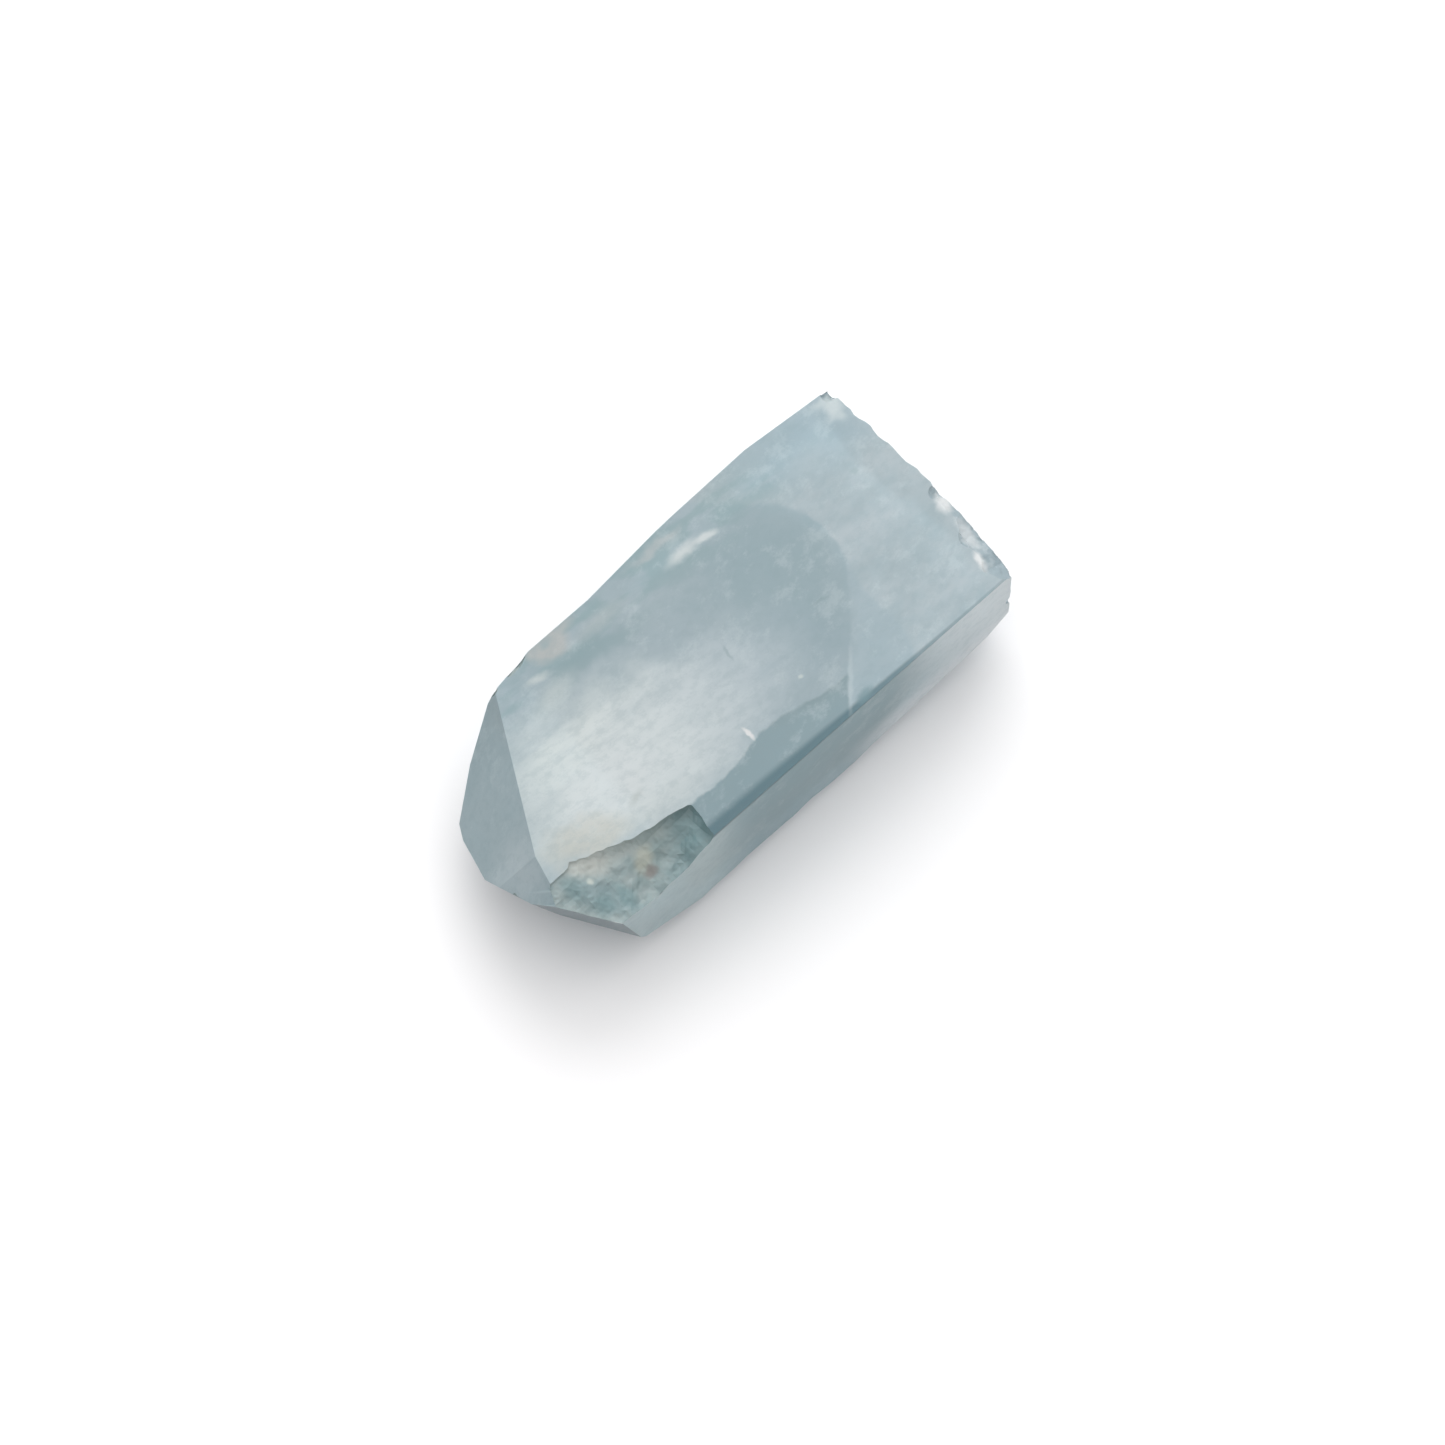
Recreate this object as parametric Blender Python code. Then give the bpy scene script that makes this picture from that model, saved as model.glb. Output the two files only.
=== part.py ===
"""A loose prismatic barite crystal: one natural solid, lying on its broad face.

Metres, +Z up. The origin is under the middle of the crystal, on the surface it lies on. +X runs along
the prism, from the natural termination to the broken end, and -Y is the near long side.

The crystal is a slab that is cut by its growth faces, each a flat plane. The broken end with its bevel,
the chipped ledge at the termination and the small edge chips are then taken off with rough-faced cutters.
"""

import math

import bmesh
import bpy
from mathutils import Matrix, Vector, noise

MM = 0.001

# Driving dimensions. The slab is longer than the crystal, and the growth faces and the break shorten it.
SLAB_LENGTH = 29.0 * MM
SLAB_WIDTH = 12.8 * MM
HEIGHT = 6.2 * MM
NEAR_SIDE_Y = -6.25 * MM
BREAK_X = 13.42 * MM

# Growth faces: name, azimuth of the outward normal round +Z from +X, its tilt above the horizon, both in
# degrees, and the plane's reach from the middle of the slab in mm
GROWTH_FACES = [
    ("far side by the break", 85.5, 0.0, 7.16),
    ("far side middle", 91.7, 0.0, 6.25),
    ("far side by the tip", 92.8, 0.0, 6.17),
    ("far side corner", 99.1, 0.0, 6.68),
    ("tip shoulder", 116.6, 0.0, 8.56),
    ("tip shoulder end", 124.5, 0.0, 9.49),
    ("tip slope", 149.1, 41.0, 9.18),
    ("tip slope near side", 162.7, 41.0, 10.31),
    ("tip slope under", 149.1, -41.0, 9.18),
    ("tip end under", 171.5, -38.0, 10.24),
    ("tip end", -161.2, -24.5, 11.45),
    ("tip corner", -147.8, -16.4, 11.65),
    ("tip corner under", -159.4, -40.0, 9.48),
    ("near underside at the tip", -109.8, -45.0, 7.34),
    ("near underside at the break", -60.5, -45.0, 8.68),
]

# The growth step on the far side: a flat wedge, its corners in plan, in mm
FAR_STEP_PLAN = [(4.2, 6.43), (-1.7, 5.93), (-5.4, 5.91), (-8.5, 6.9), (4.2, 6.9)]

# The broken end, in mm. It turns back near the near side, and is hackly, with cleavage steps that fade out
# towards its straight top edge.
BREAK_GRID = 0.30
BREAK_TURN_Y = -2.4
BREAK_TURN_SLOPE = 0.11
BREAK_CORNER_Y = -5.3
BREAK_CORNER_CUT = 0.32
BREAK_SET_BACK = 0.25
BREAK_STEP = 0.26
BREAK_TREAD = 0.62
BREAK_TREADS = 1.5
BREAK_WAVE = 0.45
BREAK_TOOTH = 0.085

# The chipped bevel along the top of the broken end, in mm: its inner edge in plan as x for each y, the small
# riser at that edge, how steeply it falls from there, and how uneven it is
BEVEL_GRID = 0.20
BEVEL_EDGE = [
    (-6.5, 12.6),
    (-6.0, 12.2),
    (-5.3, 11.9),
    (-4.6, 12.3),
    (-3.4, 12.4),
    (-2.6, 12.9),
    (-1.1, 13.0),
    (-0.5, 13.4),
    (0.0, 14.0),
]
BEVEL_RAGGED = 0.09
BEVEL_RISER = 0.10
BEVEL_FALL = 0.42
BEVEL_LUMPS = 0.07

# The chipped ledge at the tip's near corner, in mm: its inner edge in plan, the line that ends it towards the
# break, its riser, how far it falls and over what width, and its roughness
LEDGE_GRID = 0.24
LEDGE_EDGE = [(-12.3, -2.9), (-11.1, -2.8), (-9.7, -3.3), (-8.0, -4.0), (-6.9, -4.1), (-5.4, -4.4)]
LEDGE_END_X = -5.3
LEDGE_END_SLOPE = 0.20
LEDGE_END_Y = -4.4
LEDGE_RAGGED = 0.10
LEDGE_RISER = 0.42
LEDGE_RISER_AT_TIP = 0.12
LEDGE_RISER_FADE = (-10.9, -9.2)
LEDGE_FALL = 0.72
LEDGE_REACH = 2.6
LEDGE_ROUGHNESS = 0.20

# The broken underside, in mm: the flat patch that is left, in plan, and how the break rises away from it
UNDER_GRID = 0.42
FLAT_PATCH = [
    (-10.6, -3.0),
    (-4.2, -3.1),
    (-1.5, -3.2),
    (0.3, -2.7),
    (4.1, -3.5),
    (5.6, -3.1),
    (7.2, -1.6),
    (8.6, 0.1),
    (9.2, 1.8),
    (9.0, 3.6),
    (7.6, 6.2),
    (6.6, 7.4),
    (-10.6, 7.4),
]
UNDER_LIP = 0.12
UNDER_LIP_WIDTH = 0.35
UNDER_SLOPE = 0.185
UNDER_WAVE = 0.16

# Along the near side the underside rises more, and most towards the break
UNDER_NEAR_BAND = (4.0, 6.2)
UNDER_NEAR_RISE = 0.25
UNDER_NEAR_START = (-7.0, -5.0)
UNDER_BREAK_RISE = 0.40
UNDER_BREAK_START = (2.5, 5.5)

# How far cutters stay clear of a surface that they leave whole, in mm
CLEAR = 0.30

# Small conchoidal chips: how finely they are meshed and how lumpy they are, then for each its centre and
# radii in mm and its turn about Z in degrees
CHIP_DETAIL = 3
CHIP_LUMPS = 0.16
CHIP_LUMP_RATE = 2.3
CHIPS = [
    ((13.30, -1.05, 6.46), (0.62, 0.55, 0.42), 0.0),
    ((12.55, -3.55, 6.28), (0.50, 0.34, 0.26), 60.0),
    ((13.30, 5.95, 6.50), (0.55, 0.50, 0.50), 0.0),
    ((13.08, -6.45, 3.72), (0.60, 0.52, 0.38), 0.0),
    ((13.30, -6.45, 1.95), (0.85, 0.70, 0.75), 0.0),
    ((-6.30, 5.95, 6.52), (1.10, 0.50, 0.50), 8.0),
    ((-7.95, 5.70, 6.45), (0.70, 0.40, 0.50), 20.0),
    ((-13.72, -1.75, 4.90), (0.36, 0.60, 0.40), 0.0),
    ((-2.60, -6.70, 0.50), (1.60, 0.70, 0.62), 0.0),
    ((2.50, 6.85, 0.30), (2.60, 0.95, 0.80), 3.0),
    ((-10.20, 5.60, 0.10), (1.30, 1.20, 0.90), 0.0),
    ((9.40, 6.75, 6.62), (1.20, 0.45, 0.55), -4.0),
]


def clear_scene():
    for existing in list(bpy.data.objects):
        bpy.data.objects.remove(existing)


def direction(azimuth, tilt):
    """Unit vector from an azimuth and a tilt in degrees."""
    a = math.radians(azimuth)
    t = math.radians(tilt)
    return Vector((math.cos(t) * math.cos(a), math.cos(t) * math.sin(a), math.sin(t)))


def rough(x, y, rate_x, rate_y, layer):
    """Smooth noise of about -1 to 1 over a plane, with a different pattern in each layer."""
    return noise.noise(Vector((rate_x * x, rate_y * y, layer)))


def ramp(value, low, high):
    """0 below low, 1 above high, and smooth in between."""
    t = min(max((value - low) / (high - low), 0.0), 1.0)
    return t * t * (3.0 - 2.0 * t)


def height_on(points, x):
    """The y of a run of straight lines at x; the points go from low x to high x."""
    if x <= points[0][0]:
        return points[0][1]
    for (x0, y0), (x1, y1) in zip(points, points[1:]):
        if x <= x1:
            return y0 + (y1 - y0) * (x - x0) / (x1 - x0)
    return points[-1][1]


def make_object(name, bm):
    mesh = bpy.data.meshes.new(name)
    bmesh.ops.recalc_face_normals(bm, faces=bm.faces)
    bm.to_mesh(mesh)
    bm.free()
    made = bpy.data.objects.new(name, mesh)
    bpy.context.scene.collection.objects.link(made)
    return made


def make_cutter(name, bm):
    bmesh.ops.triangulate(bm, faces=bm.faces)
    cutter = make_object(name, bm)
    cutter.hide_render = True
    cutter.display_type = "WIRE"
    return cutter


def take_off(crystal, cutter):
    """Cuts cutter's solid out of the crystal."""
    cut = crystal.modifiers.new(cutter.name, "BOOLEAN")
    cut.operation = "DIFFERENCE"
    cut.solver = "EXACT"
    cut.object = cutter


def make_slab():
    """The slab that the growth faces cut. Its top and bottom are the broad faces, its -Y side the near."""
    bm = bmesh.new()
    bmesh.ops.create_cube(bm, size=1.0)
    bmesh.ops.scale(bm, vec=(SLAB_LENGTH, SLAB_WIDTH, HEIGHT), verts=bm.verts)
    bmesh.ops.translate(bm, vec=(0.0, NEAR_SIDE_Y + SLAB_WIDTH / 2.0, HEIGHT / 2.0), verts=bm.verts)
    return bm


def cut_growth_face(bm, azimuth, tilt, reach):
    normal = direction(azimuth, tilt)
    point = Vector((0.0, 0.0, HEIGHT / 2.0)) + normal * reach
    everything = bm.verts[:] + bm.edges[:] + bm.faces[:]
    cut = bmesh.ops.bisect_plane(bm, geom=everything, plane_co=point, plane_no=normal, clear_outer=True)
    rim = [part for part in cut["geom_cut"] if isinstance(part, bmesh.types.BMEdge)]
    if rim:
        bmesh.ops.contextual_create(bm, geom=rim)


def make_crystal():
    bm = make_slab()
    for _, azimuth, tilt, reach in GROWTH_FACES:
        cut_growth_face(bm, azimuth, tilt, reach * MM)
    return make_object("barite_crystal", bm)


def close_sheet(bm, push):
    """Thickens an open sheet into a closed block by extruding all of it along push."""
    grown = bmesh.ops.extrude_face_region(bm, geom=bm.faces[:], use_keep_orig=True)
    moved = [part for part in grown["geom"] if isinstance(part, bmesh.types.BMVert)]
    bmesh.ops.translate(bm, vec=push, verts=moved)


def grid_sheet(u_span, v_span, spacing, place):
    """An open grid sheet; place(u, v) gives each point, all in mm."""
    u_count = round((u_span[1] - u_span[0]) / spacing)
    v_count = round((v_span[1] - v_span[0]) / spacing)
    bm = bmesh.new()
    bmesh.ops.create_grid(bm, x_segments=u_count, y_segments=v_count, size=0.5)
    for vert in bm.verts:
        u = u_span[0] + (vert.co.x + 0.5) * (u_span[1] - u_span[0])
        v = v_span[0] + (vert.co.y + 0.5) * (v_span[1] - v_span[0])
        vert.co = Vector(place(u, v)) * MM
    return bm


def terraced(level):
    """Turns a smooth level into flat treads with short risers between them."""
    tread = math.floor(level)
    return tread + ramp(level - tread, BREAK_TREAD, 1.0)


def break_point(y, z):
    """A point of the broken end."""
    away_from_edges = ramp(HEIGHT / MM - z, 0.15, 2.4) * ramp(y - NEAR_SIDE_Y / MM, 0.1, 1.6)
    turn = BREAK_TURN_SLOPE * max(0.0, BREAK_TURN_Y - y)
    corner = BREAK_CORNER_CUT * max(0.0, BREAK_CORNER_Y - y) ** 2
    broad = BREAK_WAVE * rough(y, z, 0.31, 0.36, 4.7)
    level = 0.9 * rough(y, z, 0.24, 0.5, 9.1) + 0.16 * z - 0.10 * y
    steps = BREAK_STEP * terraced(BREAK_TREADS * level)
    teeth = BREAK_TOOTH * (rough(y, z, 1.5, 1.2, 1.3) + 0.6 * rough(y, z, 3.1, 2.6, 6.4))
    x = BREAK_X / MM - turn - corner + away_from_edges * (broad + steps - BREAK_SET_BACK) + teeth
    return (x, y, z)


def make_break_cutter():
    bm = grid_sheet((-8.0, 8.0), (-1.2, 7.4), BREAK_GRID, break_point)
    close_sheet(bm, (4.0 * MM, 0.0, 0.0))
    return make_cutter("break_cutter", bm)


def bevel_point(x, y):
    """The bevel at the broken end: a shallow ragged step down from the broad top face, then a slope."""
    inside = x - height_on(BEVEL_EDGE, y) + BEVEL_RAGGED * rough(y, 0.0, 1.9, 0.0, 8.3)
    depth = BEVEL_RISER * ramp(inside, -0.05, 0.12) + BEVEL_FALL * max(0.0, inside)
    depth += BEVEL_LUMPS * rough(x, y, 1.7, 1.3, 2.6) * ramp(inside, 0.05, 0.35)
    clear_above = CLEAR * ramp(-inside, -0.03, 0.12)
    return (x, y, HEIGHT / MM - depth + clear_above)


def make_bevel_cutter():
    bm = grid_sheet((11.2, 14.8), (-7.3, 0.9), BEVEL_GRID, bevel_point)
    close_sheet(bm, (0.0, 0.0, 2.0 * MM))
    return make_cutter("bevel_cutter", bm)


def ledge_point(x, y):
    """The chipped ledge: a short riser from the broad top face, then a rough slope down to the near side."""
    from_inner_edge = height_on(LEDGE_EDGE, x) + LEDGE_RAGGED * rough(x, 0.0, 1.6, 0.0, 3.1) - y
    from_end = LEDGE_END_X - LEDGE_END_SLOPE * (LEDGE_END_Y - y) - x
    inside = min(from_inner_edge, from_end)
    lumps = rough(x, y, 0.9, 1.0, 0.4) + 0.5 * rough(x, y, 2.2, 2.4, 5.2)
    riser = LEDGE_RISER_AT_TIP + (LEDGE_RISER - LEDGE_RISER_AT_TIP) * ramp(x, *LEDGE_RISER_FADE)
    depth = riser * ramp(inside, -0.12, 0.30) + LEDGE_FALL * ramp(inside, 0.15, LEDGE_REACH)
    depth += LEDGE_ROUGHNESS * lumps * ramp(inside, 0.05, 0.7)
    clear_above = CLEAR * ramp(-inside, -0.08, 0.12)
    return (x, y, HEIGHT / MM - depth + clear_above)


def make_ledge_cutter():
    bm = grid_sheet((-14.5, -4.3), (-7.4, -1.6), LEDGE_GRID, ledge_point)
    close_sheet(bm, (0.0, 0.0, 3.0 * MM))
    return make_cutter("ledge_cutter", bm)


def outside_flat_patch(x, y):
    """Distance from a point to the flat patch of the underside, or 0 on the patch."""
    point = Vector((x, y))
    inside = False
    nearest = math.inf
    for start, end in zip(FLAT_PATCH, FLAT_PATCH[1:] + FLAT_PATCH[:1]):
        a = Vector(start)
        along = Vector(end) - a
        t = min(max((point - a).dot(along) / along.length_squared, 0.0), 1.0)
        nearest = min(nearest, (point - a - along * t).length)
        if (start[1] > y) != (end[1] > y) and x < a.x + along.x * (y - a.y) / along.y:
            inside = not inside
    return 0.0 if inside else nearest


def underside_point(x, y):
    """A point of the underside: a lip at the edge of the flat patch, then a rough surface that rises."""
    away = outside_flat_patch(x, y)
    waves = rough(x, y, 0.55, 0.75, 7.7) + 0.5 * rough(x, y, 1.3, 1.6, 3.4)
    rise = UNDER_LIP * ramp(away, 0.0, UNDER_LIP_WIDTH) + UNDER_SLOPE * away
    rise += UNDER_WAVE * waves * ramp(away, 0.2, 1.4)
    lift = UNDER_NEAR_RISE * ramp(x, *UNDER_NEAR_START) + UNDER_BREAK_RISE * ramp(x, *UNDER_BREAK_START)
    rise += lift * ramp(-y, *UNDER_NEAR_BAND)
    clear_below = CLEAR * ramp(-away, -0.16, 0.0)
    return (x, y, rise - clear_below)


def make_underside_cutter():
    bm = grid_sheet((-14.6, 14.6), (-7.5, 7.5), UNDER_GRID, underside_point)
    close_sheet(bm, (0.0, 0.0, -4.0 * MM))
    return make_cutter("underside_cutter", bm)


def make_far_step_cutter():
    """A prism that leaves the shallow re-entrant growth step on the far side."""
    bm = bmesh.new()
    base = [bm.verts.new((x * MM, y * MM, -1.0 * MM)) for x, y in FAR_STEP_PLAN]
    bm.faces.new(base)
    close_sheet(bm, (0.0, 0.0, HEIGHT + 2.0 * MM))
    return make_cutter("far_step_cutter", bm)


def make_chip_cutter(name, centre, radii, turn):
    """A slightly lumpy ellipsoid."""
    bm = bmesh.new()
    bmesh.ops.create_icosphere(bm, subdivisions=CHIP_DETAIL, radius=1.0)
    place = Matrix.Translation(Vector(centre) * MM) @ Matrix.Rotation(math.radians(turn), 4, "Z")
    for vert in bm.verts:
        swell = 1.0 + CHIP_LUMPS * noise.noise(vert.co * CHIP_LUMP_RATE + Vector(centre))
        sized = Vector((vert.co.x * radii[0], vert.co.y * radii[1], vert.co.z * radii[2])) * swell
        vert.co = place @ (sized * MM)
    return make_cutter(name, bm)


def make_material():
    blue = bpy.data.materials.new("barite_blue")
    blue.use_nodes = True
    shader = blue.node_tree.nodes["Principled BSDF"]
    shader.inputs["Base Color"].default_value = (0.42, 0.53, 0.58, 1.0)
    shader.inputs["Roughness"].default_value = 0.25
    shader.inputs["Metallic"].default_value = 0.0
    shader.inputs["IOR"].default_value = 1.64
    return blue


def centre_over_origin(crystal):
    """Moves the crystal and its cutters together, to set the origin under the middle of the crystal's box."""
    finished = crystal.evaluated_get(bpy.context.evaluated_depsgraph_get())
    corners = [Vector(corner) for corner in finished.bound_box]
    middle = sum(corners, Vector()) / len(corners)
    shift = Vector((-middle.x, -middle.y, 0.0))
    for made in bpy.data.objects:
        made.data.transform(Matrix.Translation(shift))


def main():
    clear_scene()
    crystal = make_crystal()
    crystal.data.materials.append(make_material())
    take_off(crystal, make_far_step_cutter())
    take_off(crystal, make_break_cutter())
    take_off(crystal, make_bevel_cutter())
    take_off(crystal, make_ledge_cutter())
    take_off(crystal, make_underside_cutter())
    for number, (centre, radii, turn) in enumerate(CHIPS):
        take_off(crystal, make_chip_cutter(f"chip_cutter_{number:02d}", centre, radii, turn))
    centre_over_origin(crystal)


main()
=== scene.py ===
import math

import bmesh
import bpy
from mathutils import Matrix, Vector, noise


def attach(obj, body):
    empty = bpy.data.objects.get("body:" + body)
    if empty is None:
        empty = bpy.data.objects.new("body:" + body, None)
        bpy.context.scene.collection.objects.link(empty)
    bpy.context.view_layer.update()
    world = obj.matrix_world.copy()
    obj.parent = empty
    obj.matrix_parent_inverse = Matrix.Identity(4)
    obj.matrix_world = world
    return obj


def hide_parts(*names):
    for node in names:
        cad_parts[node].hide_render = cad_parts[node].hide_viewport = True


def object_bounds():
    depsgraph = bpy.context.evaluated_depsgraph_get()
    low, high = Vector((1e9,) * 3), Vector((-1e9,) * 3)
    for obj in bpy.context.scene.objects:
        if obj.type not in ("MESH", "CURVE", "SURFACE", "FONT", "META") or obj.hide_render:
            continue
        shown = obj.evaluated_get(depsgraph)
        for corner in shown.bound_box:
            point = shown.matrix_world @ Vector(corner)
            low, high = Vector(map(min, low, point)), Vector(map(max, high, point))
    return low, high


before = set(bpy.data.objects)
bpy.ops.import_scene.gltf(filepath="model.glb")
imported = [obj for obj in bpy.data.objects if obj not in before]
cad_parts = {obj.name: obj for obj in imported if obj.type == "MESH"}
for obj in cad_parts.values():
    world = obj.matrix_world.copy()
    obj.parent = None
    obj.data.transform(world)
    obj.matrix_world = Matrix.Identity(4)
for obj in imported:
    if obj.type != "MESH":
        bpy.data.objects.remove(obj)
cad_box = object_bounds()


# The camera looks down on the crystal from the tip's near side, as the photograph does. The crystal lies in
# the middle of a square frame and fills less than half of it.
VIEW_AZIMUTH = math.radians(-44.06)
VIEW_ELEVATION = math.radians(64.0)
VIEW_DISTANCE = 0.300
FRAME_WIDTH = 0.0650
LOOK_AT = Vector((0.00046, -0.00053, 0.0))
SENSOR_WIDTH_MM = 36.0
NEAREST_SEEN = 0.01

camera_data = bpy.data.cameras.new("camera")
camera_data.sensor_width = SENSOR_WIDTH_MM
camera_data.lens = SENSOR_WIDTH_MM * VIEW_DISTANCE / FRAME_WIDTH
camera_data.clip_start = NEAREST_SEEN
camera = bpy.data.objects.new("camera", camera_data)
bpy.context.scene.collection.objects.link(camera)
towards_camera = Vector((
    math.sin(VIEW_AZIMUTH) * math.cos(VIEW_ELEVATION),
    -math.cos(VIEW_AZIMUTH) * math.cos(VIEW_ELEVATION),
    math.sin(VIEW_ELEVATION),
))
camera.location = LOOK_AT + towards_camera * VIEW_DISTANCE
camera.rotation_euler = towards_camera.to_track_quat("Z", "Y").to_euler()
bpy.context.scene.camera = camera


# The floor is a sheet of smooth white card with hardly any gloss. It lies flat under the crystal and is wide
# enough to fill the view.
FLOOR_SIZE = 1.2
CARD_COLOUR = (0.90, 0.90, 0.91, 1.0)
CARD_ROUGHNESS = 0.9
CARD_GLOSS = 0.1

floor_bm = bmesh.new()
bmesh.ops.create_grid(floor_bm, x_segments=1, y_segments=1, size=FLOOR_SIZE / 2)
floor_mesh = bpy.data.meshes.new("floor")
floor_bm.to_mesh(floor_mesh)
floor_bm.free()
floor = bpy.data.objects.new("floor", floor_mesh)
bpy.context.scene.collection.objects.link(floor)

card = bpy.data.materials.new("white_card")
card.use_nodes = True
card_shader = card.node_tree.nodes["Principled BSDF"]
card_shader.inputs["Base Color"].default_value = CARD_COLOUR
card_shader.inputs["Roughness"].default_value = CARD_ROUGHNESS
card_shader.inputs["Specular IOR Level"].default_value = CARD_GLOSS
floor.data.materials.append(card)


# The light is a white tent, bright overhead and dim near the floor, so what overhangs the floor has a dark
# shadow close under it. One large soft lamp stands high behind the crystal.
TENT_COLOUR = (1.0, 0.99, 0.985, 1.0)
TENT_BRIGHT_SIDE = (0.15, 0.10, 0.98)
TENT_DIM = 0.25
TENT_BRIGHT = 1.27
TENT_DIM_END = 0.05
TENT_BRIGHT_START = 0.75

world = bpy.data.worlds.new("tent")
bpy.context.scene.world = world
world.use_nodes = True
tent_nodes = world.node_tree.nodes
tent_links = world.node_tree.links
tent = tent_nodes["Background"]
tent.inputs["Color"].default_value = TENT_COLOUR
tent_place = tent_nodes.new("ShaderNodeTexCoord")
towards_bright = tent_nodes.new("ShaderNodeVectorMath")
towards_bright.operation = "DOT_PRODUCT"
towards_bright.inputs[1].default_value = TENT_BRIGHT_SIDE
tent_links.new(tent_place.outputs["Generated"], towards_bright.inputs[0])
brightness = tent_nodes.new("ShaderNodeMapRange")
brightness.interpolation_type = "SMOOTHSTEP"
brightness.inputs["From Min"].default_value = TENT_DIM_END
brightness.inputs["From Max"].default_value = TENT_BRIGHT_START
brightness.inputs["To Min"].default_value = TENT_DIM
brightness.inputs["To Max"].default_value = TENT_BRIGHT
tent_links.new(towards_bright.outputs["Value"], brightness.inputs["Value"])
tent_links.new(brightness.outputs["Result"], tent.inputs["Strength"])

LAMP_AZIMUTH = math.radians(46.0)
LAMP_ELEVATION = math.radians(38.0)
LAMP_DISTANCE = 0.45
LAMP_SIZE = 0.45
LAMP_POWER = 1.0

lamp_data = bpy.data.lights.new("soft_lamp", "AREA")
lamp_data.shape = "DISK"
lamp_data.size = LAMP_SIZE
lamp_data.energy = LAMP_POWER
lamp = bpy.data.objects.new("soft_lamp", lamp_data)
bpy.context.scene.collection.objects.link(lamp)
towards_lamp = Vector((
    math.cos(LAMP_AZIMUTH) * math.cos(LAMP_ELEVATION),
    math.sin(LAMP_AZIMUTH) * math.cos(LAMP_ELEVATION),
    math.sin(LAMP_ELEVATION),
))
lamp.location = towards_lamp * LAMP_DISTANCE
lamp.rotation_euler = towards_lamp.to_track_quat("Z", "Y").to_euler()

bpy.context.scene.view_settings.view_transform = "Standard"


# The crystal is one piece of pale blue barite. Its growth faces are flat and glassy, the broken faces are
# rough and frosted, and clouds and cracks inside it show through the broad face.
MM = 0.001
JOIN_DISTANCE = 0.0001 * MM
MERGE_DISTANCE = 0.01 * MM
GROWTH_FACE_AREA = 0.9 * MM * MM
SAME_PLANE = math.cos(math.radians(0.5))
SLIVER_RISE = 0.002 * MM
FLATTENING_ROUNDS = 6
CUTTING_ROUNDS = 2
NEEDLESS_EDGE_ANGLE = math.radians(1.0)
ROUGH_DEPTH = 0.10 * MM
ROUGH_LUMP = 0.55 * MM
ROUGH_GRAIN = 0.20 * MM
GRAIN_SHIFT = Vector((7.0, 3.0, 5.0))


def mark_growth_faces(bm, mark):
    """Numbers the faces of each flat region that is large enough to have grown, and gives their planes."""
    seen = set()
    planes = [None]
    for first in bm.faces:
        if first in seen:
            continue
        seen.add(first)
        region = [first]
        for face in region:
            for edge in face.edges:
                for other in edge.link_faces:
                    if other not in seen and other.normal.dot(first.normal) > SAME_PLANE:
                        seen.add(other)
                        region.append(other)
        if sum(face.calc_area() for face in region) > GROWTH_FACE_AREA:
            widest = max(region, key=lambda face: face.calc_area())
            planes.append((widest.normal.copy(), widest.verts[0].co.copy()))
            for face in region:
                face[mark] = len(planes) - 1
    take_in_slivers(bm, mark, planes)
    return planes


def take_in_slivers(bm, mark, planes):
    """Gives a flat region the needle-thin faces beside it that lie in its plane but point anywhere."""
    waiting = [face for face in bm.faces if face[mark] > 0]
    for face in waiting:
        normal, point = planes[face[mark]]
        for edge in face.edges:
            for other in edge.link_faces:
                flat = all(abs((vert.co - point).dot(normal)) < SLIVER_RISE for vert in other.verts)
                if flat and other[mark] == 0:
                    other[mark] = face[mark]
                    waiting.append(other)


def lay_flat(bm, mark, planes):
    """Puts the corners of the growth faces back into their planes after a merge has moved them a little."""
    for vert in bm.verts:
        numbers = sorted({face[mark] for face in vert.link_faces} - {0})
        for number in numbers * FLATTENING_ROUNDS:
            normal, point = planes[number]
            vert.co -= normal * (vert.co - point).dot(normal)


def is_rough(edge, mark):
    """Tells whether an edge belongs to a broken face."""
    return any(face[mark] == 0 for face in edge.link_faces)


def is_inside_growth_face(edge, mark):
    """Tells whether both sides of an edge lie in the same flat face."""
    marks = [face[mark] for face in edge.link_faces]
    return marks[0] > 0 and marks[0] == marks[-1]


def roughness_depth(place):
    """Gives how deep the broken surface lies at a place, as a share of its full depth."""
    broad = noise.noise(place / ROUGH_LUMP)
    fine = noise.noise(place / ROUGH_GRAIN + GRAIN_SHIFT)
    return 0.5 + 0.4 * broad + 0.3 * fine


def inside_box(place, box):
    """Moves a place back into a box that it has left."""
    return Vector(min(max(place[i], box[0][i]), box[1][i]) for i in range(3))


crystal_bm = bmesh.new()
crystal_bm.from_mesh(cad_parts["barite_crystal"].data)
bmesh.ops.remove_doubles(crystal_bm, verts=crystal_bm.verts, dist=JOIN_DISTANCE)
grown = crystal_bm.faces.layers.int.new("grown")
growth_planes = mark_growth_faces(crystal_bm, grown)
bmesh.ops.remove_doubles(crystal_bm, verts=crystal_bm.verts, dist=MERGE_DISTANCE)
lay_flat(crystal_bm, grown, growth_planes)
for _ in range(CUTTING_ROUNDS):
    rough_edges = [edge for edge in crystal_bm.edges if is_rough(edge, grown)]
    bmesh.ops.subdivide_edges(crystal_bm, edges=rough_edges, cuts=1, use_grid_fill=True)
inner_edges = [edge for edge in crystal_bm.edges if is_inside_growth_face(edge, grown)]
bmesh.ops.dissolve_limit(
    crystal_bm, angle_limit=NEEDLESS_EDGE_ANGLE, use_dissolve_boundaries=False, verts=[], edges=inner_edges,
)
crystal_bm.normal_update()
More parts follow.
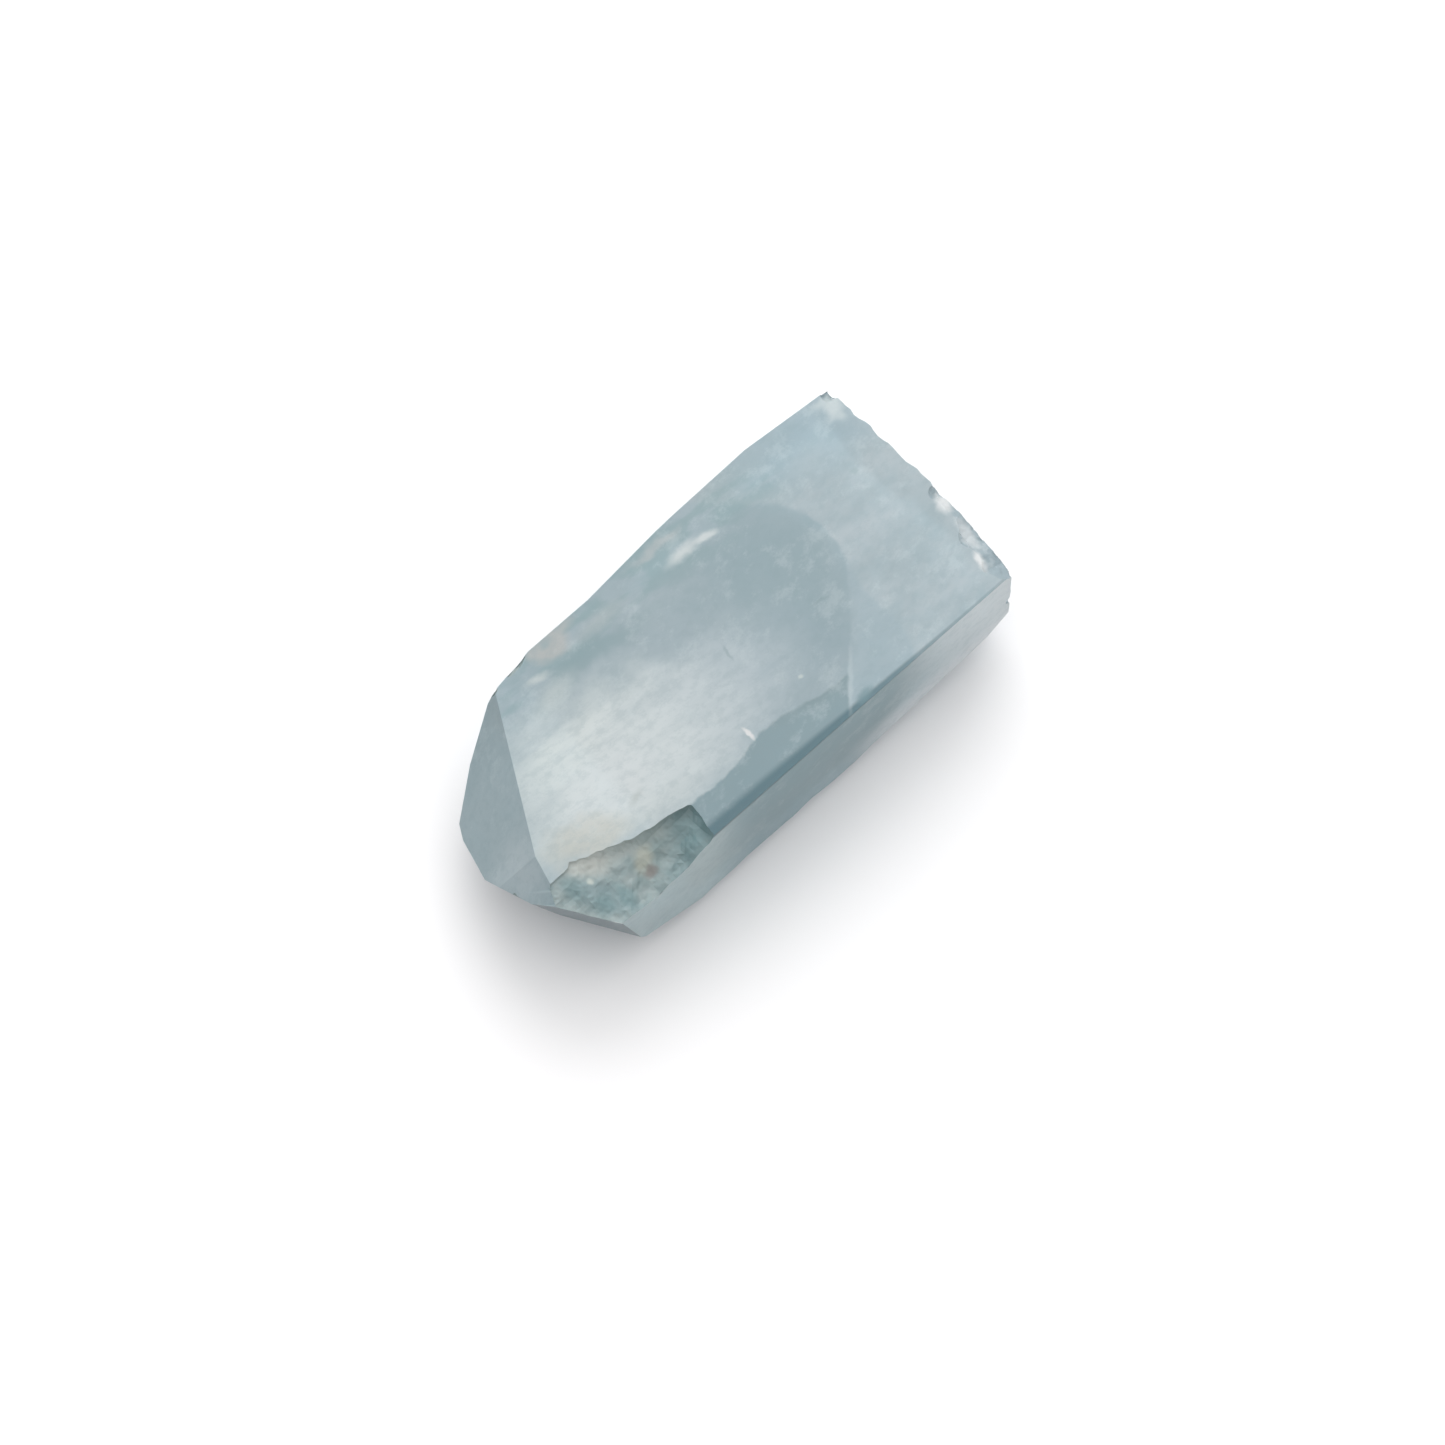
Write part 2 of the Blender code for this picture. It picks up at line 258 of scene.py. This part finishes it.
for vert in crystal_bm.verts:
    if all(face[grown] == 0 for face in vert.link_faces):
        dent = vert.normal * ROUGH_DEPTH * roughness_depth(vert.co)
        vert.co = inside_box(vert.co - dent, cad_box)
bmesh.ops.triangulate(crystal_bm, faces=[face for face in crystal_bm.faces if face[grown] > 0])
broken = crystal_bm.faces.layers.float.new("broken")
for face in crystal_bm.faces:
    face[broken] = 1.0 if face[grown] == 0 else 0.0
crystal_bm.faces.layers.int.remove(crystal_bm.faces.layers.int["grown"])
crystal_mesh = bpy.data.meshes.new("crystal")
crystal_bm.to_mesh(crystal_mesh)
crystal_bm.free()
crystal = bpy.data.objects.new("crystal", crystal_mesh)
bpy.context.scene.collection.objects.link(crystal)

barite = bpy.data.materials.new("blue_barite")
barite.use_nodes = True


def shade(kind, inputs, **settings):
    """Adds a shader node. Its inputs are numbers or the outputs of other nodes."""
    made = barite.node_tree.nodes.new(kind)
    for name, value in settings.items():
        setattr(made, name, value)
    for name, value in inputs.items():
        if isinstance(value, bpy.types.NodeSocket):
            barite.node_tree.links.new(value, made.inputs[name])
        else:
            made.inputs[name].default_value = value
    return made


def worked_out(operation, first, second, clamped=False):
    """Works out a sum of two numbers or node outputs. A clamped result stays between 0 and 1."""
    return shade("ShaderNodeMath", {0: first, 1: second}, operation=operation, use_clamp=clamped).outputs[0]


def ramped(value, start, end, low=0.0, high=1.0):
    """Gives low before start and high after end, with a smooth step between them."""
    return shade("ShaderNodeMapRange", {
        "Value": value, "From Min": start, "From Max": end, "To Min": low, "To Max": high,
    }, interpolation_type="SMOOTHSTEP").outputs["Result"]


def part_of(*shares):
    """Multiplies shares."""
    result = shares[0]
    for share in shares[1:]:
        result = worked_out("MULTIPLY", result, share, clamped=True)
    return result


def any_of(*shares):
    """Gives the largest of some shares."""
    result = shares[0]
    for share in shares[1:]:
        result = worked_out("MAXIMUM", result, share, clamped=True)
    return result


def rest_of(share):
    """Gives what a share leaves over."""
    return worked_out("SUBTRACT", 1.0, share, clamped=True)


def tinted(under, colour, *shares):
    """Lays a colour over another one by the product of some shares."""
    mixed = shade("ShaderNodeMix", {0: part_of(*shares), 6: under, 7: (*colour, 1.0)}, data_type="RGBA")
    return mixed.outputs[2]


# Every place on the crystal is read in millimetres.
own_place = shade("ShaderNodeTexCoord", {}).outputs["Object"]
place = shade("ShaderNodeMapping", {"Vector": own_place, "Scale": (1000.0, 1000.0, 1000.0)}).outputs[0]
place_parts = shade("ShaderNodeSeparateXYZ", {"Vector": place})
along = place_parts.outputs["X"]
across = place_parts.outputs["Y"]
height = place_parts.outputs["Z"]


def speckle(size, detail, stretch=(1.0, 1.0, 1.0), turn=0.0, roughness=0.5):
    """Adds a smooth random pattern whose lumps have a size in millimetres, stretched along the crystal."""
    where = shade("ShaderNodeMapping", {
        "Vector": place, "Rotation": (0.0, 0.0, math.radians(turn)),
        "Scale": tuple(size * share for share in stretch),
    }, vector_type="TEXTURE").outputs[0]
    return shade("ShaderNodeTexNoise", {
        "Vector": where, "Scale": 1.0, "Detail": detail, "Roughness": roughness,
    })


def wavy(size, amount):
    """Gives the place pushed about by a random pattern, for uneven rims."""
    push = shade("ShaderNodeVectorMath", {
        0: speckle(size, 2.0).outputs["Color"], 1: (-0.5, -0.5, -0.5),
    }, operation="ADD").outputs[0]
    return shade("ShaderNodeVectorMath", {
        0: push, 1: (amount, amount, amount), 2: place,
    }, operation="MULTIPLY_ADD").outputs[0]


soft_place = wavy(1.6, 2.2)
edge_place = wavy(0.45, 0.28)


def cloud(middle, half_size, turn, rim, where=soft_place):
    """Gives 1 in an oval cloud and 0 around it. The rim is a share of its size on both sides of its edge."""
    inside = shade("ShaderNodeMapping", {
        "Vector": where, "Location": middle, "Rotation": (0.0, 0.0, math.radians(turn)),
        "Scale": half_size,
    }, vector_type="TEXTURE").outputs[0]
    reach = shade("ShaderNodeVectorMath", {0: inside}, operation="LENGTH").outputs["Value"]
    return ramped(reach, 1.0 + rim, 1.0 - rim)


def spot(middle, half_size, turn=0.0, rim=0.6):
    """Gives 1 in a small oval spot, which keeps its place and shape better than a cloud."""
    return cloud(middle, half_size, turn, rim, edge_place)


def marked(colour, mask, marks):
    """Lays marks over a colour in turn: each has a shape, middle, half size, turn, rim, colour and share."""
    for shape, middle, half_size, turn, rim, tint, share in marks:
        colour = tinted(colour, tint, shape(middle, half_size, turn, rim), mask, share)
    return colour


def left_of(line, rim):
    """Gives 1 on the left of a gently curved line over the broad face, and 0 on its right."""
    start, end = Vector(line[0]), Vector(line[-1])
    chord = end - start
    forward = chord.normalized()
    runs = shade("ShaderNodeMapping", {
        "Vector": edge_place, "Location": (start.x, start.y, 0.0),
        "Rotation": (0.0, 0.0, math.atan2(chord.y, chord.x)), "Scale": (chord.length, 1.0, 1.0),
    }, vector_type="TEXTURE").outputs[0]
    split = shade("ShaderNodeSeparateXYZ", {"Vector": runs})
    bow_span = 12.0
    bows = []
    for point in line:
        step = Vector(point) - start
        bows.append((step.dot(forward) / chord.length, 0.5 + forward.cross(step) / bow_span))
    bend = shade("ShaderNodeFloatCurve", {"Factor": 1.0, "Value": split.outputs["X"]})
    curve = bend.mapping.curves[0]
    curve.points[0].location = bows[0]
    curve.points[1].location = bows[-1]
    for bow in bows[1:-1]:
        curve.points.new(*bow)
    bend.mapping.extend = "HORIZONTAL"
    bend.mapping.use_clip = False
    bend.mapping.update()
    offset = worked_out("MULTIPLY", worked_out("ADD", bend.outputs[0], -0.5), bow_span)
    return ramped(worked_out("SUBTRACT", split.outputs["Y"], offset), -rim, rim)


facing = shade("ShaderNodeSeparateXYZ", {"Vector": shade("ShaderNodeNewGeometry", {}).outputs["True Normal"]})
frost = shade("ShaderNodeAttribute", {}, attribute_name="broken").outputs["Fac"]
grown_face = rest_of(frost)
on_top = part_of(ramped(facing.outputs["Z"], 0.96, 0.99), ramped(height, 5.9, 6.1), grown_face)
on_near_side = ramped(facing.outputs["Y"], -0.9, -0.97)
on_tip_slopes = part_of(ramped(facing.outputs["X"], -0.25, -0.4), grown_face)

# The body colour is a pale grey blue with lumps of lighter and darker blue, of all sizes.
lumps = ramped(speckle(2.2, 4.0, (1.7, 1.0, 1.0), roughness=0.6).outputs["Fac"], 0.30, 0.70)
fine_lumps = ramped(speckle(0.55, 3.0, (1.4, 1.0, 1.0), roughness=0.6).outputs["Fac"], 0.30, 0.72)
colour = tinted((0.34, 0.45, 0.49, 1.0), (0.48, 0.57, 0.61), lumps)
colour = tinted(colour, (0.34, 0.48, 0.53), fine_lumps, 0.35)

# A curved crack deep in the crystal divides the broad face: a darker field with a round end lies towards
# the tip, and a band along the near edge is darker still, painted shade of the gap under the near side seen
# through the crystal. A wedge beyond the crack is a little darker too.
ARC_TOP = [(5.4, 5.6), (6.6, 4.4), (7.4, 3.6), (8.2, 2.2)]
ARC = [(8.2, 2.2), (8.3, 0.9), (7.8, -0.9), (6.9, -1.9), (5.9, -3.1), (4.5, -4.4), (2.6, -6.4)]
WEDGE_LINE = [(8.2, 2.2), (8.3, 0.9), (7.9, -0.8), (7.5, -2.1), (7.4, -3.4), (7.4, -4.6), (6.6, -6.5)]
BAND_LINE = [
    (-6.2, -4.5), (-4.6, -4.64), (-3.1, -4.66), (-2.4, -4.55), (-1.5, -4.33), (-0.2, -4.24), (1.4, -4.5),
    (2.4, -4.72), (4.1, -4.83),
]
inside_arc = part_of(rest_of(left_of(ARC, 0.12)), rest_of(left_of(ARC_TOP, 0.18)))
above_band = left_of(BAND_LINE, 0.10)
field = part_of(inside_arc, above_band, on_top)
band_painted_shade = part_of(inside_arc, rest_of(above_band), on_top)
wedge = part_of(rest_of(left_of(WEDGE_LINE, 0.18)), rest_of(inside_arc), on_top, ramped(across, 2.4, 1.0))
colour = tinted(colour, (0.32, 0.45, 0.51), field, 0.6)
colour = marked(colour, field, (
    (cloud, (5.4, 1.0, 6.2), (3.4, 3.6, 3.0), 0.0, 0.6, (0.22, 0.37, 0.42), 0.6),
    (cloud, (3.2, -2.0, 6.2), (2.6, 1.8, 2.0), -20.0, 0.6, (0.24, 0.38, 0.44), 0.7),
))
# Painted shade: the band along the near edge.
colour = tinted(colour, (0.19, 0.31, 0.35), band_painted_shade, 0.92)
colour = tinted(colour, (0.33, 0.46, 0.52), wedge, 0.55)

# The broad face is darker in blotches along its far edge, with pale streaks between them.
far_edge = part_of(ramped(across, 2.9, 4.6), on_top, ramped(along, 11.0, 8.0))
blotches = ramped(speckle(0.9, 3.0, (3.2, 1.0, 1.0), -5.0).outputs["Fac"], 0.42, 0.58)
colour = tinted(colour, (0.20, 0.37, 0.40), far_edge, blotches, 0.6)
colour = marked(colour, on_top, (
    (cloud, (-4.6, 5.5, 6.2), (1.1, 0.5, 2.0), 0.0, 0.6, (0.62, 0.59, 0.56), 0.6),
    (cloud, (-3.3, 3.8, 6.2), (2.4, 0.7, 2.0), -12.0, 0.5, (0.18, 0.33, 0.37), 0.5),
    (spot, (-6.0, 3.4, 6.2), (1.1, 0.5, 2.0), 10.0, 0.8, (0.58, 0.68, 0.68), 0.6),
    (spot, (-2.1, 4.7, 6.2), (1.2, 0.35, 2.0), 0.0, 0.8, (0.48, 0.56, 0.58), 0.6),
    (spot, (7.3, 5.6, 6.2), (1.8, 0.7, 2.0), 0.0, 0.8, (0.27, 0.41, 0.45), 0.5),
    (cloud, (2.2, 5.7, 6.2), (1.4, 0.35, 2.0), 0.0, 0.6, (0.60, 0.62, 0.62), 0.5),
))

# A milky cloud lies behind the tip end of the broad face, with pale streaks along the crystal. It is
# brightest in the middle and fades towards the break.
streaks = ramped(speckle(0.9, 4.0, (5.0, 1.0, 1.0), -6.0, 0.6).outputs["Fac"], 0.25, 0.65, 0.60, 1.0)
milk = part_of(cloud((-7.3, -1.0, 6.2), (5.9, 3.6, 4.0), -6.0, 0.5), field)
milk = part_of(milk, ramped(along, -11.5, -7.5, 0.62, 1.0))
glow = part_of(cloud((-2.8, -1.6, 6.2), (6.0, 2.7, 4.0), 0.0, 0.55), field)
colour = tinted(colour, (0.79, 0.87, 0.86), milk, streaks)
colour = marked(colour, field, (
    (cloud, (-7.9, -1.4, 6.2), (2.2, 1.4, 2.0), 0.0, 0.6, (0.92, 0.96, 0.95), 0.45),
))
colour = tinted(colour, (0.70, 0.79, 0.84), glow, streaks, 0.5)

# A warm stain lies between the cloud and the ledge, and the far corner at the break is a deeper blue.
colour = marked(colour, on_top, (
    (cloud, (-9.9, -2.6, 6.2), (1.9, 0.9, 2.0), -15.0, 0.5, (0.66, 0.66, 0.58), 0.6),
    (cloud, (11.0, 5.0, 6.2), (3.2, 1.9, 2.0), -10.0, 0.6, (0.28, 0.43, 0.50), 0.75),
    (spot, (10.1, 3.9, 6.2), (1.3, 0.7, 2.0), 0.0, 0.8, (0.46, 0.56, 0.60), 0.5),
))

# Painted shade and painted light on the near side: it is painted darkest in the middle, under the edge, and
# pale at the broken end, at its foot near the break and at the tip.
side_painted_shade = part_of(on_near_side, ramped(along, 11.0, 4.0), ramped(along, -11.0, -3.0, 0.45, 1.0))
side_painted_shade = part_of(side_painted_shade, ramped(height, 1.0, 5.5, 0.55, 1.0))
side_foot_painted_light = part_of(on_near_side, ramped(along, 2.0, 5.5), ramped(height, 3.5, 1.6))
colour = tinted(colour, (0.20, 0.39, 0.44), side_painted_shade, 0.78)
# Painted light at the broken end, at the foot near the break and at the tip.
colour = tinted(colour, (0.80, 0.88, 0.90), on_near_side, ramped(along, 4.5, 9.5), 0.7)
colour = tinted(colour, (0.95, 0.98, 1.00), side_foot_painted_light, 0.8)
colour = tinted(colour, (0.66, 0.81, 0.82), on_near_side, ramped(along, -3.0, -6.5), 0.7)

# The slanted faces at the tip are painted a plain darker blue as painted shade, darkest on the far side, with
# one paler spot.
colour = tinted(colour, (0.43, 0.56, 0.60), on_tip_slopes, 0.7)
colour = tinted(colour, (0.32, 0.44, 0.48), on_tip_slopes, ramped(across, 2.0, 4.5), 0.5)
colour = marked(colour, on_tip_slopes, (
    (spot, (-12.3, -1.8, 4.5), (1.5, 1.5, 2.0), 0.0, 0.6, (0.60, 0.70, 0.74), 0.7),
))

# Small flaws scatter the light all through the crystal, so it is finely mottled.
dark_flaws = ramped(speckle(0.36, 4.0, (1.5, 1.0, 1.0), -5.0, 0.7).outputs["Fac"], 0.44, 0.64)
pale_flaws = ramped(speckle(1.1, 5.0, (1.3, 1.0, 1.0), 10.0, 0.75).outputs["Fac"], 0.50, 0.68)
colour = tinted(colour, (0.20, 0.34, 0.38), dark_flaws, 0.17)
colour = tinted(colour, (0.80, 0.90, 0.92), pale_flaws, 0.20)

# Painted shade: faces that point down, where little light comes in, are painted a deeper blue, darkest under
# the tip.
shaded = ramped(facing.outputs["Z"], 0.1, -0.3)
colour = tinted(colour, (0.22, 0.33, 0.38), shaded, ramped(height, 5.0, 2.0), 0.6)
colour = tinted(colour, (0.09, 0.16, 0.19), shaded, ramped(along, -6.0, -9.0), 0.85)

# A dark line of painted shade follows the near edge of the broad face, where the edge shows the inside of the
# crystal. It
# narrows towards the break, and stays on the broad face because it ends sooner down the side.
CRYSTAL_TOP = 6.2
NEAR_SIDE = -6.3786
DOWN_THE_SIDE = 3.0
below_top = worked_out("MULTIPLY", worked_out("SUBTRACT", CRYSTAL_TOP, height), DOWN_THE_SIDE)
from_side = worked_out("SUBTRACT", across, NEAR_SIDE)
line_width = ramped(along, -7.0, 11.0, 0.62, 0.13)
widths_off = worked_out("DIVIDE", worked_out("ADD", below_top, from_side), line_width)
edge_painted_shade = part_of(ramped(widths_off, 1.3, 0.5), ramped(along, 12.5, 2.0, 0.35, 1.0))
colour = tinted(colour, (0.02, 0.12, 0.16), edge_painted_shade, 0.95)

# The ledge is mottled: pale where it joins the milky cloud, dark at its end towards the break and along its
# foot, with a stain in the middle. Its riser is painted lighter towards the tip, as painted light against the
# step's shade.
LEDGE_LINE = [(-12.3, -3.35), (-11.1, -3.25), (-9.7, -3.75), (-8.0, -4.45), (-6.9, -4.6), (-5.4, -4.9)]
grain = speckle(0.5, 3.0).outputs["Fac"]
on_ledge = part_of(frost, ramped(along, -4.0, -4.6), ramped(height, 3.6, 4.2))
riser = part_of(on_ledge, left_of(LEDGE_LINE, 0.35), ramped(along, -10.4, -9.0))
colour = tinted(colour, (0.43, 0.52, 0.51), on_ledge, 0.8)
colour = tinted(colour, (0.28, 0.40, 0.41), on_ledge, ramped(grain, 0.40, 0.62), 0.5)
colour = marked(colour, on_ledge, (
    (spot, (-10.4, -3.3, 5.0), (1.4, 0.8, 2.0), -10.0, 0.5, (0.74, 0.76, 0.70), 0.8),
))
# Painted light on the riser towards the tip.
colour = tinted(colour, (0.78, 0.82, 0.78), riser, ramped(along, -7.6, -9.0), 0.9)
colour = marked(colour, on_ledge, (
    (spot, (-8.2, -5.0, 5.5), (1.1, 0.5, 2.0), 22.0, 0.6, (0.22, 0.33, 0.32), 0.4),
    (spot, (-7.2, -6.2, 5.2), (1.4, 0.6, 2.0), 10.0, 0.6, (0.20, 0.34, 0.36), 0.6),
    (spot, (-5.9, -5.3, 5.5), (1.2, 1.1, 2.0), 0.0, 0.5, (0.15, 0.29, 0.31), 0.7),
))
colour = tinted(colour, (0.42, 0.51, 0.49), riser, ramped(along, -6.4, -7.2), 0.6)
colour = marked(colour, on_ledge, (
    (spot, (-11.1, -4.7, 4.6), (1.9, 0.7, 2.0), -59.0, 0.4, (0.27, 0.41, 0.44), 0.6),
))
foot_spots = any_of(
    spot((-11.8, -3.8, 4.6), (0.45, 0.7, 2.0)),
    spot((-11.2, -5.2, 4.6), (0.6, 0.45, 2.0)),
    spot((-10.2, -5.5, 4.8), (0.35, 0.6, 2.0)),
)
colour = tinted(colour, (0.17, 0.33, 0.35), on_ledge, foot_spots, 0.6)
colour = marked(colour, on_ledge, (
    (spot, (-8.5, -4.8, 5.5), (0.55, 0.35, 2.0), 30.0, 0.6, (0.68, 0.67, 0.54), 0.6),
    (spot, (-8.6, -5.4, 5.4), (0.30, 0.22, 2.0), 0.0, 0.6, (0.36, 0.27, 0.24), 0.6),
    (spot, (-11.0, -4.1, 5.0), (0.16, 0.14, 2.0), 0.0, 0.6, (0.82, 0.88, 0.80), 0.7),
))

# The bevel at the broken end is frosted, with three white spots. The far corner has a pale spot too.
on_bevel = part_of(frost, ramped(along, 11.0, 11.6))
white_spots = any_of(
    spot((13.1, -1.7, 6.0), (0.50, 0.36, 2.0), 60.0),
    spot((12.2, -4.9, 6.0), (0.50, 0.22, 2.0), 70.0),
    part_of(spot((12.8, -3.5, 6.0), (0.8, 0.30, 2.0), 75.0), 0.6),
)
colour = tinted(colour, (0.36, 0.47, 0.52), on_bevel, 0.8)
colour = tinted(colour, (0.60, 0.69, 0.73), on_bevel, ramped(grain, 0.48, 0.62), 0.6)
colour = tinted(colour, (0.96, 0.98, 0.98), white_spots, 0.9)
colour = tinted(colour, (0.78, 0.86, 0.86), cloud((12.9, 5.3, 6.2), (0.6, 0.5, 2.0), 0.0, 0.6), 0.6)

# Small cracks and crumbs show inside the crystal.
colour = marked(colour, on_top, (
    (spot, (4.2, 4.45, 6.2), (0.55, 0.20, 2.0), -10.0, 0.6, (0.86, 0.92, 0.92), 0.7),
    (spot, (2.9, 4.6, 6.2), (0.75, 0.24, 2.0), 5.0, 0.9, (0.86, 0.92, 0.92), 0.7),
    (spot, (-1.2, -3.9, 6.2), (0.34, 0.09, 2.0), 90.0, 0.6, (0.98, 0.99, 0.99), 0.85),
    (spot, (-6.0, 4.5, 6.2), (0.5, 0.16, 2.0), -10.0, 0.9, (0.82, 0.88, 0.86), 0.5),
    (spot, (2.4, -3.5, 6.2), (0.16, 0.12, 2.0), 0.0, 0.6, (0.84, 0.92, 0.88), 0.5),
    (spot, (5.7, -1.4, 6.2), (0.40, 0.06, 2.0), -10.0, 0.6, (0.20, 0.33, 0.37), 0.5),
    (spot, (0.9, -0.4, 6.2), (0.40, 0.07, 2.0), -100.0, 0.6, (0.25, 0.38, 0.42), 0.5),
    (spot, (-6.9, -2.7, 6.2), (0.40, 0.14, 2.0), 20.0, 0.9, (0.45, 0.53, 0.52), 0.5),
    (spot, (11.3, 2.2, 6.2), (0.22, 0.16, 2.0), 0.0, 0.6, (0.24, 0.38, 0.40), 0.5),
    (spot, (3.8, -5.2, 6.2), (1.3, 0.12, 2.0), 45.0, 0.6, (0.62, 0.72, 0.75), 0.35),
    (spot, (3.8, -6.1, 6.2), (0.45, 0.22, 2.0), 10.0, 0.6, (0.10, 0.24, 0.28), 0.7),
))

# Barite bends light a little more than glass does. The growth faces are satin and the broken ones frosted,
# and light that has gone through the crystal comes out blue.
BARITE_IOR = 1.64
CLEARNESS = 0.45
SATIN = 0.28
FROSTED = 0.55
BLUE_INSIDE = (0.55, 0.75, 0.82, 1.0)
BLUE_PER_METRE = 50.0

shader = barite.node_tree.nodes["Principled BSDF"]
barite.node_tree.links.new(colour, shader.inputs["Base Color"])
barite.node_tree.links.new(ramped(frost, 0.0, 1.0, SATIN, FROSTED), shader.inputs["Roughness"])
shader.inputs["IOR"].default_value = BARITE_IOR
shader.inputs["Transmission Weight"].default_value = CLEARNESS
absorption = shade("ShaderNodeVolumeAbsorption", {"Color": BLUE_INSIDE, "Density": BLUE_PER_METRE})
barite.node_tree.links.new(absorption.outputs[0], barite.node_tree.nodes["Material Output"].inputs["Volume"])
crystal.data.materials.append(barite)

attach(crystal, "root")
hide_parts("barite_crystal")
